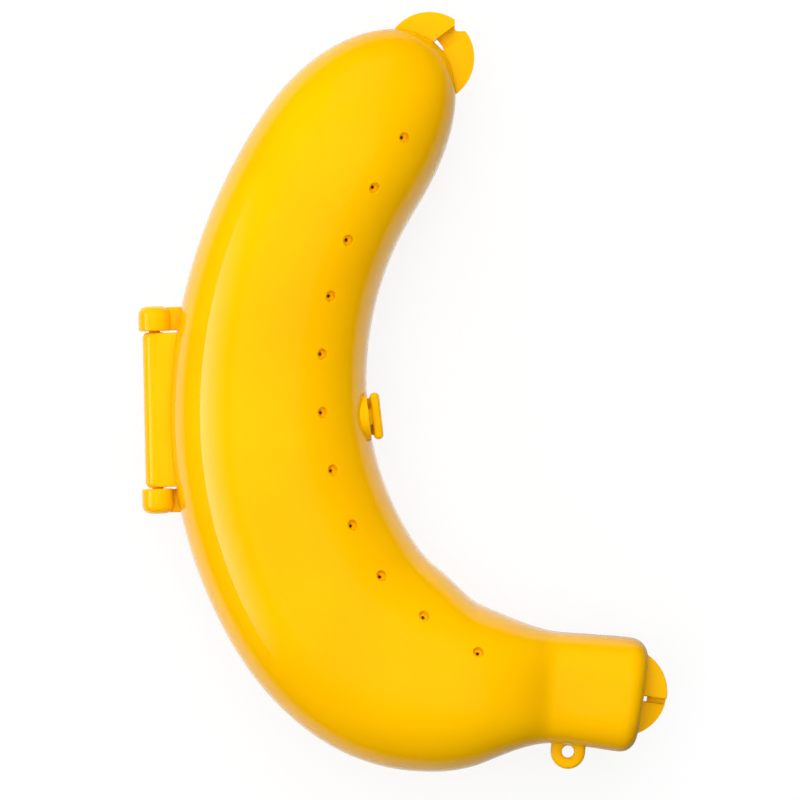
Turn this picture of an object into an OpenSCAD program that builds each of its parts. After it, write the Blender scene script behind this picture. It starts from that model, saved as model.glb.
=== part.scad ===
// Banana carrying case: two moulded half shells on a snap hinge, closed by a flexing clasp.
// The case lies on its rear shell. The parting plane is level, +Z points up through the front shell,
// +Y points at the tip and the hinge line runs along Y on the outer side of the curve.

/* [Banana curve] */
// Length of the centre line from the middle of the hinge to the tip
tip_run = 119.5; // [90:0.5:150]
// Bend radius of the centre line between hinge and tip
tip_bend = 125; // [100:1:200]
// Length of the centre line along the belly, below the hinge
belly_run = 61; // [40:1:80]
// Bend radius of the centre line along the belly
belly_bend = 108; // [90:1:180]
// Length of the centre line through the tight bend at the neck
neck_run = 50; // [35:1:65]
// Bend radius of the centre line at the neck
neck_bend = 51; // [45:1:90]
// Length of the centre line along the stem
stem_run = 48; // [40:1:70]
// Bend radius of the stem, which leans back outwards
stem_bend = 340; // [150:5:900]

/* [Body form] */
// Half width of the body behind the tip
tip_w = 26; // [22:0.1:30]
// Length over which the tip rounds off
tip_round = 43; // [36:0.5:52]
// Half width at the belly, where the body is fattest
belly_w = 30.4; // [27:0.1:34]
// Half width at the narrowest point of the neck
neck_w = 16; // [13:0.1:20]
// Half width at the end of the stem
stem_w = 16.6; // [13:0.1:21]
// Distance along the centre line from the tip to where the body starts to swell
swell_at = 26; // [20:1:60]
// Distance along the centre line from the tip to the fattest point
belly_at = 192; // [160:1:205]
// Distance along the centre line from the tip to the narrowest point of the neck
neck_at = 254; // [240:1:262]
// Skew of the taper from belly to neck (1 is even, more keeps the belly full for longer)
taper_skew = 1.5; // [1:0.1:2]
// Half thickness of the body, from the parting plane to the crown of one shell
body_h = 24; // [20:0.5:28]
// Half thickness of the stem
stem_h = 14.5; // [12:0.5:18]
// Distance along the centre line from the tip to where the crown starts to fall towards the stem
dome_at = 213; // [190:1:216]
// Length of the dome that the crown falls along, if it went on down to the parting plane
dome_len = 45; // [42:0.5:60]
// Height of the blend in the crease where the dome meets the stem
crease = 2; // [0.5:0.1:4]
// Squareness of the body's cross-section (2 is an ellipse)
body_power = 2.3; // [2:0.1:3]
// Squareness of the stem's cross-section
stem_power = 3; // [2:0.1:4]
// Corner radius round the end of the stem
end_round = 5; // [3:0.5:8]

/* [Walls and rim] */
// Wall thickness of both shells
wall = 2.2; // [1.8:0.1:3]
// Thickness of the register lip on the rear shell
lip_t = 0.9; // [0.6:0.1:1.2]
// Height of the register lip above the parting plane
lip_h = 1.5; // [1:0.1:2.5]
// Clearance between the lip and the front shell
lip_clear = 0.3; // [0.2:0.05:0.5]
// Gap between the two rims along the parting line
parting_gap = 0.1; // [0.05:0.05:0.3]
// Seam between a shell and a feature that stands on it
seat_gap = 0.02; // [0.01:0.01:0.05]

/* [Vent holes] */
// Number of vent holes along the front shell
vent_count = 11; // [3:1:13]
// Diameter of a vent hole
vent_d = 3; // [2:0.1:4]
// Distance between neighbouring vent holes
vent_pitch = 16.6; // [12:0.1:17.5]
// Distance of the vent holes from the inner edge of the body
vent_edge = 12.5; // [10:0.1:16]
// Distance along the centre line from the tip to the first vent hole
vent_first = 27.7; // [20:0.1:32]

/* [Hinge] */
// Distance of the hinge axis from the body's side
hinge_reach = 4; // [3.9:0.1:6]
// Diameter of the long centre barrel
barrel_d = 7; // [6:0.1:7.2]
// Length of the long centre barrel
barrel_len = 45; // [30:1:52]
// Edge radius on the barrel's ends
barrel_round = 1.5; // [0.5:0.1:1.6]
// Diameter of the two end knuckles
knuckle_d = 9.2; // [8:0.1:9.4]
// Length of an end knuckle
knuckle_len = 7.2; // [6:0.1:10]
// Edge radius of a knuckle beside the barrel
knuckle_edge = 0.6; // [0.3:0.1:0.8]
// Radius of a knuckle's domed outer end
knuckle_round = 2.5; // [1:0.1:3.5]
// End gap between the barrel and each knuckle
hinge_gap = 0.3; // [0.3:0.05:0.8]
// Diameter of the stub pin on each knuckle
pin_d = 3.2; // [2.4:0.1:3.8]
// Length of the stub pin inside the barrel
pin_len = 4; // [3:0.5:8]
// Running clearance round a stub pin
pin_clear = 0.08; // [0.05:0.01:0.1]
// Length of the leaf that carries the barrel
leaf_len = 44.6; // [28:0.2:44.8]
// Thickness of the leaf, whose top runs on from the barrel's
leaf_t = 3; // [1.6:0.1:3]
// Thickness of a knuckle's arm along the hinge line
arm_t = 6.8; // [4:0.1:6.8]
// Height of an arm at its knuckle
arm_h = 3; // [2:0.1:3.6]
// Height of an arm at the rear shell, where it is deepest
arm_root = 7; // [4:0.1:9]

/* [Clasp] */
// Distance along the centre line from the middle of the hinge to the clasp, towards the stem
clasp_shift = 4.5; // [-6:0.5:12]
// Length of the clasp plate along the body's edge
clasp_len = 13.6; // [10:0.2:18]
// Thickness of the clasp plate
clasp_t = 2.8; // [2.4:0.1:4]
// Gap between the body's edge and the clasp plate
clasp_gap = 1; // [0.9:0.1:1.6]
// Height of the clasp plate above the parting plane
clasp_top = 6; // [5:0.5:8]
// Depth of the clasp plate below the parting plane
clasp_drop = 8; // [7:0.5:10]
// Distance that the catch ridge stands out from the body's edge
catch_reach = 0.8; // [0.5:0.1:0.8]
// Distance that the clasp's tooth and the catch ridge overlap
catch_bite = 0.5; // [0.3:0.05:0.6]
// Gap between the catch ridge and the tooth below it
catch_clear = 0.25; // [0.2:0.05:0.4]
// Height of the catch ridge
catch_h = 2.4; // [1.6:0.1:3]
// Depth of the catch ridge's lower face below the parting plane
catch_depth = 5; // [4:0.1:5.6]
// Diameter of the web's round end, on which the clasp plate rocks
web_d = 2; // [1.6:0.1:2.2]
// Length of the web along the body's edge
web_len = 4.6; // [2:0.2:6]
// Height of the web's middle above the parting plane
web_z = 4.4; // [3:0.1:4.6]
// Thickness of the web's neck
web_t = 1.6; // [0.8:0.1:1.6]
// Running clearance between the web's round end and its groove in the plate
web_clear = 0.08; // [0.05:0.01:0.1]
// Distance that the pad with the web stands out from the body's edge
pad_t = 0.3; // [0.2:0.1:0.5]
// Height of the pad's round top above the parting plane
pad_top = 11; // [8:0.5:13]

/* [Pull tabs] */
// Thickness of a petal
petal_t = 2.4; // [1.6:0.1:3]
// Radius of the tip's petals
tip_tab_r = 13; // [10:0.5:15]
// Distance that the tip's petals reach past the tip
tip_tab_reach = 8.7; // [6:0.1:10]
// Sideways shift of the tip's petals, towards the outer edge
tip_tab_side = 1; // [0:0.1:2]
// Distance of the tip's seam from the middle of its petals, towards the outer edge
tip_seam = 3; // [1:0.1:4]
// Width of the recessed strip beside the tip's seam
tip_strip = 3.5; // [2:0.1:4]
// Distance of the notch's inner corner from the middle of the tip's petals, away from the body
tip_notch = 10.5; // [9:0.1:12]
// Distance of the notch's inner corner from the tip's seam, into the strip
tip_notch_side = 1.1; // [0.2:0.1:3]
// Turn of the notch's sides from the direction of the seam
tip_notch_turn = 36; // [20:1:50]
// Half width of the slot between the root of the tip's strip and the body
tip_slot = 0.7; // [0.5:0.1:2]
// Radius of the stem's petals
stem_tab_r = 13; // [9:0.2:14]
// Distance that the stem's petals reach past the stem
stem_tab_reach = 7.2; // [5:0.1:9]
// Sideways shift of the stem's petals, towards the inner edge
stem_tab_side = 0.7; // [0:0.1:2]
// Distance of the stem's seam from the middle of its petals, towards the inner edge
stem_seam = -0.3; // [-2:0.1:3]
// Width of the recessed strip beside the stem's seam
stem_strip = 1.7; // [1:0.1:3]
// Half width of the slot between the root of the stem's strip and the body
stem_slot = 1.8; // [0.5:0.1:2]
// Depth of the recessed strip
strip_drop = 0.8; // [0.4:0.1:1.2]
// Distance that the strip runs on under the front petal
strip_tongue = 1.2; // [0.5:0.1:2]

/* [Lanyard eye] */
// Distance from the end of the stem to the eye
eye_from_end = 20; // [16:0.5:26]
// Distance of the eye's hole from the body's edge
eye_out = 2.1; // [2.1:0.1:4]
// Outer diameter of the eye
eye_d = 10; // [8:0.2:12]
// Diameter of the eye's hole
eye_hole_d = 3.5; // [2.5:0.1:3.8]
// Thickness of the eye
eye_t = 2.6; // [2:0.1:4]

/* [Hidden] */

// Facets of the lofted shells: points round half a section, and stations along the centre line
sides = 16;
tip_steps = 8;
body_steps = 28;
neck_steps = 14;
stem_steps = 4;
end_steps = 3;
// Steps round a quarter of a round edge
edge_steps = 6;
$fn = 64;
case_colour = [1.0, 0.78, 0.0];
hinge_colour = [0.96, 0.7, 0.03];
tab_colour = [0.95, 0.69, 0.03];

// Overlap of a feature into the body before the body's form is cut away from it
bite = 5;

// Centre line: distance s runs from the tip to the end of the stem, and the hinge is at s = tip_run.
// Each arc is [bend radius, length], and a negative radius leans back outwards.
stem_arcs = [[belly_bend, belly_run], [neck_bend, neck_run], [-stem_bend, stem_run]];
spine_len = tip_run + belly_run + neck_run + stem_run;

function arc_turn(radius, run) = run / radius * 180 / PI;

// Place and heading at the end of an arc that starts at point p with the given heading
function arc_end(p, heading, radius, run) =
    let (turned = heading + arc_turn(radius, run))
    [
        p.x + radius * (sin(turned) - sin(heading)),
        p.y - radius * (cos(turned) - cos(heading)),
        turned
    ];

// Walks down the arcs below the hinge, from arc number i on
function walk(run, i = 0, at = [0, 0, -90]) =
    let (step = i == len(stem_arcs) - 1 ? run : min(run, stem_arcs[i][1]))
    let (next = arc_end(at, at.z, stem_arcs[i][0], step))
    run > step ? walk(run - step, i + 1, next) : next;

// Centre line at distance s from the tip, as [x, y, heading]
function spine(s) =
    s < tip_run ? arc_end([0, 0], -90, tip_bend, s - tip_run) : walk(s - tip_run);

// Direction across the body at a heading, pointing at the outer edge
function across(heading) = [sin(heading), -cos(heading)];

// Point at distance s from the tip, v across the body (outer side positive) and z above the parting
function place(s, v, z) =
    let (c = spine(s), n = across(c.z))
    [c.x + n.x * v, c.y + n.y * v, z];

function ease(from, to, t) =
    let (u = min(1, max(0, t)))
    from + (to - from) * u * u * (3 - 2 * u);

function eased(from, to, s0, s1, s) = ease(from, to, (s - s0) / (s1 - s0));

// Rounds off the tip: from 0 at the very tip to 1 at the full section
function tip_share(s, inset) =
    s >= tip_round ? 1 : sqrt(max(0, 1 - pow((tip_round - s) / (tip_round - inset), 2)));

// Rounds off the end of the stem: how far its corner radius draws the section in
function end_draw(s, inset) =
    let (r = end_round - inset, past = s - (spine_len - end_round))
    past <= 0 ? 0 : r - sqrt(max(0, r * r - past * past));

function full_width(s) =
    s < belly_at ? eased(tip_w, belly_w, swell_at, belly_at, s)
    : s < neck_at ? ease(belly_w, neck_w, pow((s - belly_at) / (neck_at - belly_at), taper_skew))
    : eased(neck_w, stem_w, neck_at, spine_len, s);

// Height of the crown: a dome at the neck, blended into the stem in a crease
function blend_max(a, b, reach) = max(a, b) + pow(max(reach - abs(a - b), 0), 2) / (4 * reach);
function dome(s) = body_h * sqrt(max(0, 1 - pow(max(0, s - dome_at) / dome_len, 2)));
function full_height(s) = blend_max(dome(s), stem_h, crease);

// Half width and half height of the body's form, drawn in all round by inset
function half_width(s, inset = 0) =
    (full_width(s) - inset) * tip_share(s, inset) - end_draw(s, inset);
function half_height(s, inset = 0) =
    (full_height(s) - inset) * tip_share(s, inset) - end_draw(s, inset);
function power(s) = eased(body_power, stem_power, dome_at, neck_at, s);

// Point of the section at polar angle a, from the inner edge (180) over the crown to the outer edge (0)
function section_point(s, inset, a, floor_z) =
    let (w = half_width(s, inset), h = half_height(s, inset), n = power(s))
    let (r = 1 / pow(pow(abs(cos(a)) / w, n) + pow(abs(sin(a)) / h, n), 1 / n))
    place(s, r * cos(a), max(floor_z, r * sin(a)));

function section(s, inset, floor_z) =
    [for (j = [0:sides]) section_point(s, inset, 180 - 180 * j / sides, floor_z)];

// Height of the body's surface above the parting plane, at v across the body
function crown_z(s, v) =
    let (n = power(s))
    half_height(s) * pow(1 - pow(abs(v) / half_width(s), n), 1 / n);

// Stations along the centre line of a form drawn in by inset, closest together round the neck
function even_steps(from, to, count) = [for (i = [1:count]) from + (to - from) * i / count];
function stations(inset) = concat(
    [for (i = [1:tip_steps]) tip_round - (tip_round - inset) * cos(90 * i / tip_steps)],
    even_steps(tip_round, dome_at, body_steps),
    even_steps(dome_at, neck_at, neck_steps),
    even_steps(neck_at, spine_len - end_round, stem_steps),
    [for (i = [1:end_steps]) spine_len - end_round + (end_round - inset) * sin(90 * i / end_steps)]
);
station_pitch = (dome_at - tip_round) / body_steps;

function reversed(list) = [for (i = [len(list) - 1:-1:0]) list[i]];
function repeated(point, count) = [for (i = [1:count]) point];

// Skins a row of closed loops with triangles, leaving out those that shrink to nothing at the poles
module skin(loops) {
    size = len(loops[0]);
    points = [for (loop = loops) for (p = loop) p];
    quads = [
        for (i = [0:len(loops) - 2])
            for (j = [0:size - 1])
                let (k = (j + 1) % size, a = i * size)
                [a + j, a + k, a + size + k, a + size + j]
    ];
    triangles = [
        for (f = quads)
            for (t = [[f[0], f[2], f[1]], [f[0], f[3], f[2]]])
                let (p = points[t[0]], q = points[t[1]], r = points[t[2]])
                if (p != q && q != r && p != r) t
    ];
    polyhedron(points = points, faces = triangles, convexity = 6);
}

// Solid form of one half of the body above the parting plane, at least from s_from to s_to
module half_form(inset, s_from, s_to) {
    rows = [
        for (s = stations(inset))
            if (s > s_from - station_pitch && s < s_to + station_pitch) s
    ];
    last = rows[len(rows) - 1];
    function face_point(s) = place(s, 0, half_height(s, inset) / 2);
    skin(concat(
        [repeated(s_from <= 0 ? place(inset, 0, 0) : face_point(rows[0]), sides + 1)],
        [for (s = rows) section(s, inset, 0)],
        [repeated(face_point(last), sides + 1)]
    ));
}

// Half shell above the parting plane. The rim is a row of [inset, z] points from outside to inside.
module half_shell(outer_z, rim, inner_z) {
    outer_rows = stations(0);
    inner_rows = stations(wall);
    rim_rows = [for (r = rim) stations(r[0])];
    function rim_points(i, side) = [
        for (k = [0:len(rim) - 1])
            place(rim_rows[k][i], side * half_width(rim_rows[k][i], rim[k][0]), rim[k][1])
    ];
    function pole(s0, way) =
        let (rim_row = [for (r = rim) place(s0 + way * r[0], 0, r[1])])
        concat(
            repeated(place(s0, 0, outer_z), sides + 1),
            rim_row,
            repeated(place(s0 + way * wall, 0, inner_z), sides + 1),
            reversed(rim_row)
        );
    rings = [
        for (i = [0:len(outer_rows) - 1]) concat(
            section(outer_rows[i], 0, outer_z),
            rim_points(i, 1),
            reversed(section(inner_rows[i], wall, inner_z)),
            reversed(rim_points(i, -1))
        )
    ];
    skin(concat([pole(0, 1)], rings, [pole(spine_len, -1)]));
}

// A feature on the front (way 1) or rear (way -1) shell, cut to the body's form between two stations
module seated(way, s_from, s_to) {
    difference() {
        children();
        mirror([0, 0, way < 0 ? 1 : 0]) half_form(-seat_gap, s_from, s_to);
    }
}

// Height of the features' lower faces above the parting plane, clear of the other shell's rim
foot = parting_gap + lip_clear;

// Hinge axis, beside the body at the middle of the hinge
hinge_x = -half_width(tip_run) - hinge_reach;
knuckle_from = barrel_len / 2 + hinge_gap;
knuckle_to = knuckle_from + knuckle_len;

// Middle of the clasp along the centre line, and of the web's round end out from the body's edge
clasp_s = tip_run + clasp_shift;
function inner_edge(s) = place(s, -half_width(s), 0);
clasp_ends = inner_edge(clasp_s + clasp_len / 2) - inner_edge(clasp_s - clasp_len / 2);
clasp_way = atan2(clasp_ends.y, clasp_ends.x) + 90;
web_x = clasp_gap + web_d / 4;

// Petals: the middle lies on the centre line's end, drawn back by the radius less the reach
tip_end = spine(0);
tip_tab_back = tip_tab_r - tip_tab_reach;
tip_tab_mid = [
    tip_end.x + tip_tab_back * cos(tip_end.z) + tip_tab_side * across(tip_end.z).x,
    tip_end.y + tip_tab_back * sin(tip_end.z) + tip_tab_side * across(tip_end.z).y
];
stem_end = spine(spine_len);
stem_tab_back = stem_tab_r - stem_tab_reach;
stem_tab_mid = [
    stem_end.x - stem_tab_back * cos(stem_end.z) - stem_tab_side * across(stem_end.z).x,
    stem_end.y - stem_tab_back * sin(stem_end.z) - stem_tab_side * across(stem_end.z).y
];

// Middle of the lanyard eye, beside the stem's outer edge
eye_s = spine_len - eye_from_end;
eye_mid = place(eye_s, half_width(eye_s) + eye_out, foot);

// The part's box: the knuckles, the stem's petals, the belly or the eye, and the tip's petals
// reach furthest
low_x = hinge_x - knuckle_d / 2;
high_x = stem_tab_mid.x + stem_tab_r;
belly_y = min([for (s = stations(0)) place(s, half_width(s), 0).y]);
low_y = min(belly_y, eye_mid.y - eye_d / 2);
high_y = tip_tab_mid.y + tip_tab_r;

// Sets the part on the ground, with the origin below the middle of its box
module set_down() {
    translate([-(low_x + high_x) / 2, -(low_y + high_y) / 2, body_h]) children();
}

// Vent holes follow the inner edge: each step along the centre line is stretched by the bend there
function bend_at(s) =
    s < tip_run ? tip_bend
    : s < tip_run + belly_run ? belly_bend
    : s < tip_run + belly_run + neck_run ? neck_bend
    : -stem_bend;
function vent_side(s) = half_width(s) - vent_edge;
function vent_s(i) =
    i == 0 ? vent_first
    : let (before = vent_s(i - 1), between = before + vent_pitch / 2)
      before + vent_pitch / (1 - vent_side(between) / bend_at(between));

// Lean of the surface at a vent hole, from the vertical towards the inner edge
function vent_lean(s) =
    let (n = power(s), v = vent_side(s), w = half_width(s), h = half_height(s))
    atan2(pow(v / w, n - 1) / w, pow(crown_z(s, v) / h, n - 1) / h);

// Drill for one vent hole, square to the surface
module vent_hole(s) {
    v = vent_side(s);
    translate(place(s, -v, crown_z(s, v)))
        rotate([0, 0, spine(s).z])
            rotate([-vent_lean(s), 0, 0])
                cylinder(d = vent_d, h = 4 * wall, center = true);
}

module front_shell() {
    land = wall - lip_t - lip_clear;
    rebate_z = lip_h + lip_clear;
    color(case_colour)
        set_down()
            difference() {
                half_shell(parting_gap, [[land, parting_gap], [land, rebate_z]], rebate_z);
                for (i = [0:vent_count - 1]) vent_hole(vent_s(i));
            }
}

module rear_shell() {
    lip_inset = wall - lip_t;
    color(case_colour)
        set_down()
            mirror([0, 0, 1])
                half_shell(0, [[lip_inset, 0], [lip_inset, -lip_h], [wall, -lip_h]], 0);
}

// Quarter of a round edge, as points from angle a to a + 90
function edge_arc(mid, r, a) = [
    for (i = [0:edge_steps])
        [mid.x + r * cos(a + 90 * i / edge_steps), mid.y + r * sin(a + 90 * i / edge_steps)]
];

// Turned solid along the hinge axis from y0 to y1, with an edge radius at each end
module hinge_turning(d, y0, y1, round0, round1) {
    r = d / 2;
    translate([hinge_x, y0, 0])
        rotate([90, 0, 0])
            mirror([0, 0, 1])
                rotate_extrude()
                    polygon(concat(
                        [[0, 0]],
                        edge_arc([r - round0, round0], round0, -90),
                        edge_arc([r - round1, y1 - y0 - round1], round1, 0),
                        [[0, y1 - y0]]
                    ));
}

// Rod along the hinge axis from y0 to y1
module hinge_rod(d, y0, y1) {
    translate([hinge_x, y1, 0])
        rotate([90, 0, 0])
            cylinder(d = d, h = y1 - y0);
}

// Long barrel with a blind socket in each end, on a leaf that leaves the front shell above its rim
module hinge_barrel() {
    half = barrel_len / 2;
    socket_d = pin_d + 2 * pin_clear;
    socket_end = half - pin_len - hinge_gap;
    color(hinge_colour)
        set_down()
            difference() {
                union() {
                    hinge_turning(barrel_d, -half, half, barrel_round, barrel_round);
                    seated(1, tip_run - half, tip_run + half)
                        translate([hinge_x, -leaf_len / 2, foot])
                            cube([hinge_reach + bite, leaf_len, leaf_t]);
                }
                hinge_rod(socket_d, socket_end, half + bite);
                hinge_rod(socket_d, -half - bite, -socket_end);
            }
}

// Distance from the hinge axis to the body's outer edge, at y along the hinge line
side_edge = [
    for (s = stations(0))
        if (abs(s - tip_run) < barrel_len)
            let (p = place(s, half_width(s), 0))
            [p.y, p.x]
];
function side_gap(y) = lookup(y, side_edge) - hinge_x;

// Side view of a knuckle arm whose body edge is gap away from the hinge axis:
// a bracket below the parting plane, deepest where it meets the rear shell
module arm_profile(gap) {
    root = gap + bite;
    polygon([
        [0, -foot],
        [0, -foot - arm_h],
        [gap, -foot - arm_root],
        [root, -foot - arm_root],
        [root, -foot]
    ]);
}

// Knuckle above the barrel, with its stub pin
module turned_knuckle() {
    hinge_turning(knuckle_d, knuckle_from, knuckle_to, knuckle_edge, knuckle_round);
    hinge_rod(pin_d, knuckle_from - hinge_gap - pin_len, knuckle_from + knuckle_len / 2);
}

// Arm of the upper (way 1) or lower (way -1) knuckle, on the rear shell's side
module knuckle_arm(way) {
    middle = way * (knuckle_from + knuckle_to) / 2;
    seated(-1, tip_run - max(0, way) * knuckle_to, tip_run - min(0, way) * knuckle_to)
        translate([hinge_x, middle + arm_t / 2, 0])
            rotate([90, 0, 0])
                linear_extrude(arm_t)
                    arm_profile(side_gap(middle));
}

module upper_hinge_knuckle() {
    color(hinge_colour)
        set_down() {
            turned_knuckle();
            knuckle_arm(1);
        }
}

module lower_hinge_knuckle() {
    color(hinge_colour)
        set_down() {
            mirror([0, 1, 0]) turned_knuckle();
            knuckle_arm(-1);
        }
}

// Stands a shape at the body's inner edge at the clasp: +X points away from the body, +Z up
module at_clasp() {
    translate(inner_edge(clasp_s))
        rotate([0, 0, clasp_way])
            children();
}

// Rod along the body's edge at the web's middle, of the given diameter and length
module web_rod(d, length) {
    translate([web_x, length / 2, web_z])
        rotate([90, 0, 0])
            cylinder(d = d, h = length);
}

// Seen from the side, the pad is a plate with a round top
module pad_profile() {
    r = clasp_len / 2;
    translate([-r, foot]) square([clasp_len, pad_top - r - foot]);
    translate([0, pad_top - r]) intersection() {
        circle(r);
        translate([-r, 0]) square([clasp_len, r]);
    }
}

// Pad on the front shell, and the web with a round end that the clasp plate rocks on
module clasp_web() {
    color(hinge_colour)
        set_down()
            seated(1, clasp_s - clasp_len, clasp_s + clasp_len)
                at_clasp() {
                    translate([-bite, 0, 0])
                        rotate([90, 0, 90])
                            linear_extrude(bite + pad_t)
                                pad_profile();
                    translate([-bite, -web_len / 2, web_z - web_t / 2])
                        cube([bite + web_x, web_len, web_t]);
                    web_rod(web_d, web_len);
                }
}

// Seen from above, the clasp plate is a bar with half-round ends
module plate_plan() {
    run = clasp_len - clasp_t;
    translate([0, -run / 2]) square([clasp_t, run]);
    for (way = [-1, 1])
        translate([clasp_t / 2, way * run / 2])
            circle(d = clasp_t);
}

// Clasp plate with a groove that rides on the web and a tooth below the catch ridge
module clasp_plate() {
    tooth_x = catch_reach - catch_bite;
    tooth_len = clasp_len - clasp_t;
    tooth_top = -catch_depth - catch_clear;
    color(hinge_colour)
        set_down()
            at_clasp()
                difference() {
                    union() {
                        translate([clasp_gap, 0, -clasp_drop])
                            linear_extrude(clasp_drop + clasp_top)
                                plate_plan();
                        translate([tooth_x, -tooth_len / 2, -clasp_drop])
                            cube([clasp_gap + clasp_t / 2 - tooth_x, tooth_len, tooth_top + clasp_drop]);
                    }
                    web_rod(web_d + 2 * web_clear, 2 * clasp_len);
                }
}

// Ridge on the rear shell with a ramp on top and a level face below, for the clasp's tooth
module clasp_catch() {
    ridge_len = clasp_len - clasp_t;
    color(hinge_colour)
        set_down()
            seated(-1, clasp_s - clasp_len, clasp_s + clasp_len)
                at_clasp()
                    translate([0, ridge_len / 2, -catch_depth])
                        rotate([90, 0, 0])
                            linear_extrude(ridge_len)
                                polygon([
                                    [-bite, 0],
                                    [catch_reach, 0],
                                    [catch_reach, catch_h / 2],
                                    [0, catch_h],
                                    [-bite, catch_h]
                                ]);
}

// Part of a petal's round plan on the front petal's side (way 1) or the rear petal's (way -1) of a line
module petal_plan(r, line_y, way) {
    intersection() {
        circle(r);
        translate([-2 * r, way > 0 ? line_y : line_y - 4 * r]) square(4 * r);
    }
}

// Front petal, drawn with +X away from the body and +Y away from the seam
module front_petal(r, seam) {
    translate([0, 0, parting_gap])
        linear_extrude(petal_t)
            petal_plan(r, seam, 1);
}

// Rear petal with its recessed strip, which runs on under the front petal.
// A slot of the given half width parts the strip's root from the body at root_x.
module rear_petal(r, seam, strip, slot, root_x) {
    strip_y = seam - strip;
    difference() {
        translate([0, 0, -petal_t])
            linear_extrude(petal_t)
                petal_plan(r, seam + strip_tongue, -1);
        translate([-2 * r, strip_y, -strip_drop]) cube([4 * r, 4 * r, petal_t]);
        translate([root_x - slot, strip_y, -2 * petal_t]) cube([2 * slot, strip, 4 * petal_t]);
    }
}

// Cuts the notch out of the rim of the tip's petals, where they meet
module notched() {
    difference() {
        children();
        translate([tip_notch, tip_seam - tip_notch_side, -2 * petal_t])
            rotate([0, 0, -tip_notch_turn])
                cube([tip_tab_r, tip_tab_r, 4 * petal_t]);
    }
}

// Stands a petal at the tip, with its front petal's side towards the outer edge
module at_tip_tab(way) {
    seated(way, 0, tip_tab_back + tip_tab_r)
        translate(tip_tab_mid)
            rotate([0, 0, tip_end.z + 180])
                children();
}

// Stands a petal at the end of the stem, with its front petal's side towards the inner edge
module at_stem_tab(way) {
    seated(way, spine_len - stem_tab_back - stem_tab_r, spine_len)
        translate(stem_tab_mid)
            rotate([0, 0, stem_end.z])
                children();
}

module front_tip_petal() {
    color(tab_colour)
        set_down()
            at_tip_tab(1)
                notched() front_petal(tip_tab_r, tip_seam);
}

module rear_tip_petal() {
    color(tab_colour)
        set_down()
            at_tip_tab(-1)
                notched() rear_petal(tip_tab_r, tip_seam, tip_strip, tip_slot, tip_tab_back);
}

module front_stem_petal() {
    color(tab_colour)
        set_down()
            at_stem_tab(1)
                front_petal(stem_tab_r, stem_seam);
}

module rear_stem_petal() {
    color(tab_colour)
        set_down()
            at_stem_tab(-1)
                rear_petal(stem_tab_r, stem_seam, stem_strip, stem_slot, stem_tab_back);
}

// Eye for a lanyard on the front shell, beside the stem
module lanyard_eye() {
    color(tab_colour)
        set_down()
            seated(1, eye_s - eye_d, eye_s + eye_d)
                translate(eye_mid)
                    rotate([0, 0, spine(eye_s).z - 90])
                        linear_extrude(eye_t)
                            difference() {
                                union() {
                                    circle(d = eye_d);
                                    translate([-bite - eye_out, -eye_d / 2])
                                        square([bite + eye_out, eye_d]);
                                }
                                circle(d = eye_hole_d);
                            }
}

rear_shell();
upper_hinge_knuckle();
lower_hinge_knuckle();
rear_tip_petal();
rear_stem_petal();
clasp_catch();
front_shell();
hinge_barrel();
front_tip_petal();
front_stem_petal();
lanyard_eye();
clasp_web();
clasp_plate();
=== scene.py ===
"""Dresses the banana carrying case: two moulded half shells, snap hinge, clasp, pull tabs and eye.

The pieces' sizes are millimetres in the part's drawing frame, where the parting plane is z = 0 and
the hinge line runs along Y. They repeat the part's own, apart from a steeper neck, stepped vents, a
ledge on the clasp and rounded edges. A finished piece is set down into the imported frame, which is
in metres, as the studio's sizes are.
"""

import logging
import math
from collections.abc import Callable, Iterable, Sequence
from dataclasses import dataclass
from enum import Enum

import bmesh
import bpy
from mathutils import Euler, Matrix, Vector


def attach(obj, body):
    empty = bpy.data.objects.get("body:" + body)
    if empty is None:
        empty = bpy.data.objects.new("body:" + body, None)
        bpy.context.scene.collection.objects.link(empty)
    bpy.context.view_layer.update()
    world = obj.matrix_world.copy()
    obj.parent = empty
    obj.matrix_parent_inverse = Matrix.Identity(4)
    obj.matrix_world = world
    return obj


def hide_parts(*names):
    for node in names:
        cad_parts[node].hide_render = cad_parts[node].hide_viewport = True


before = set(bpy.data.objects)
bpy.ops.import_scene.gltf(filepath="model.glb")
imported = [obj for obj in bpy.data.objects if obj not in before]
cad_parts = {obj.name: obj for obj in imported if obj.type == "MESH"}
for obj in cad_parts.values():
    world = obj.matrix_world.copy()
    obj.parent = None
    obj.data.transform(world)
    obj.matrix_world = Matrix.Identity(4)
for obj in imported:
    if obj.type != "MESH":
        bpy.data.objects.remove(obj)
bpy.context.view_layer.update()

LOG = logging.getLogger("banana_case")
MM = 0.001
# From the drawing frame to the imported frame, whose origin is on the ground below the box's middle
SET_DOWN = Vector((-38.2339, -3.37951, 24.0))
# Points closer than this are one point
WELD = 0.0005
# Edges sharper than this stay sharp, and are rounded by a bevel
SHARP = math.radians(30)
# A quarter turn, in radians
QUARTER = math.pi / 2
# Most values of a noise texture lie between these
NOISE_LOW, NOISE_HIGH = 0.3, 0.7
# A face whose normal is lower than this looks down
DOWNWARDS = -0.5

Point = tuple[float, float]
Ring = list[Vector]
Socket = str | int
Output = tuple[bpy.types.Node, str]


class Half(Enum):
    """The two half shells, with the way that each faces from the parting plane."""

    FRONT = 1
    REAR = -1

    @property
    def body(self) -> str:
        """Name of the body that this half's pieces ride on."""
        return f"{self.name.lower()}_half"


class Pick(Enum):
    """Kinds of mesh element that are selected in edit mode."""

    VERT = "verts"
    EDGE = "edges"
    FACE = "faces"


class Join(Enum):
    """Ways of combining two solids."""

    FUSE = "UNION"
    CUT = "DIFFERENCE"


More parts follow.
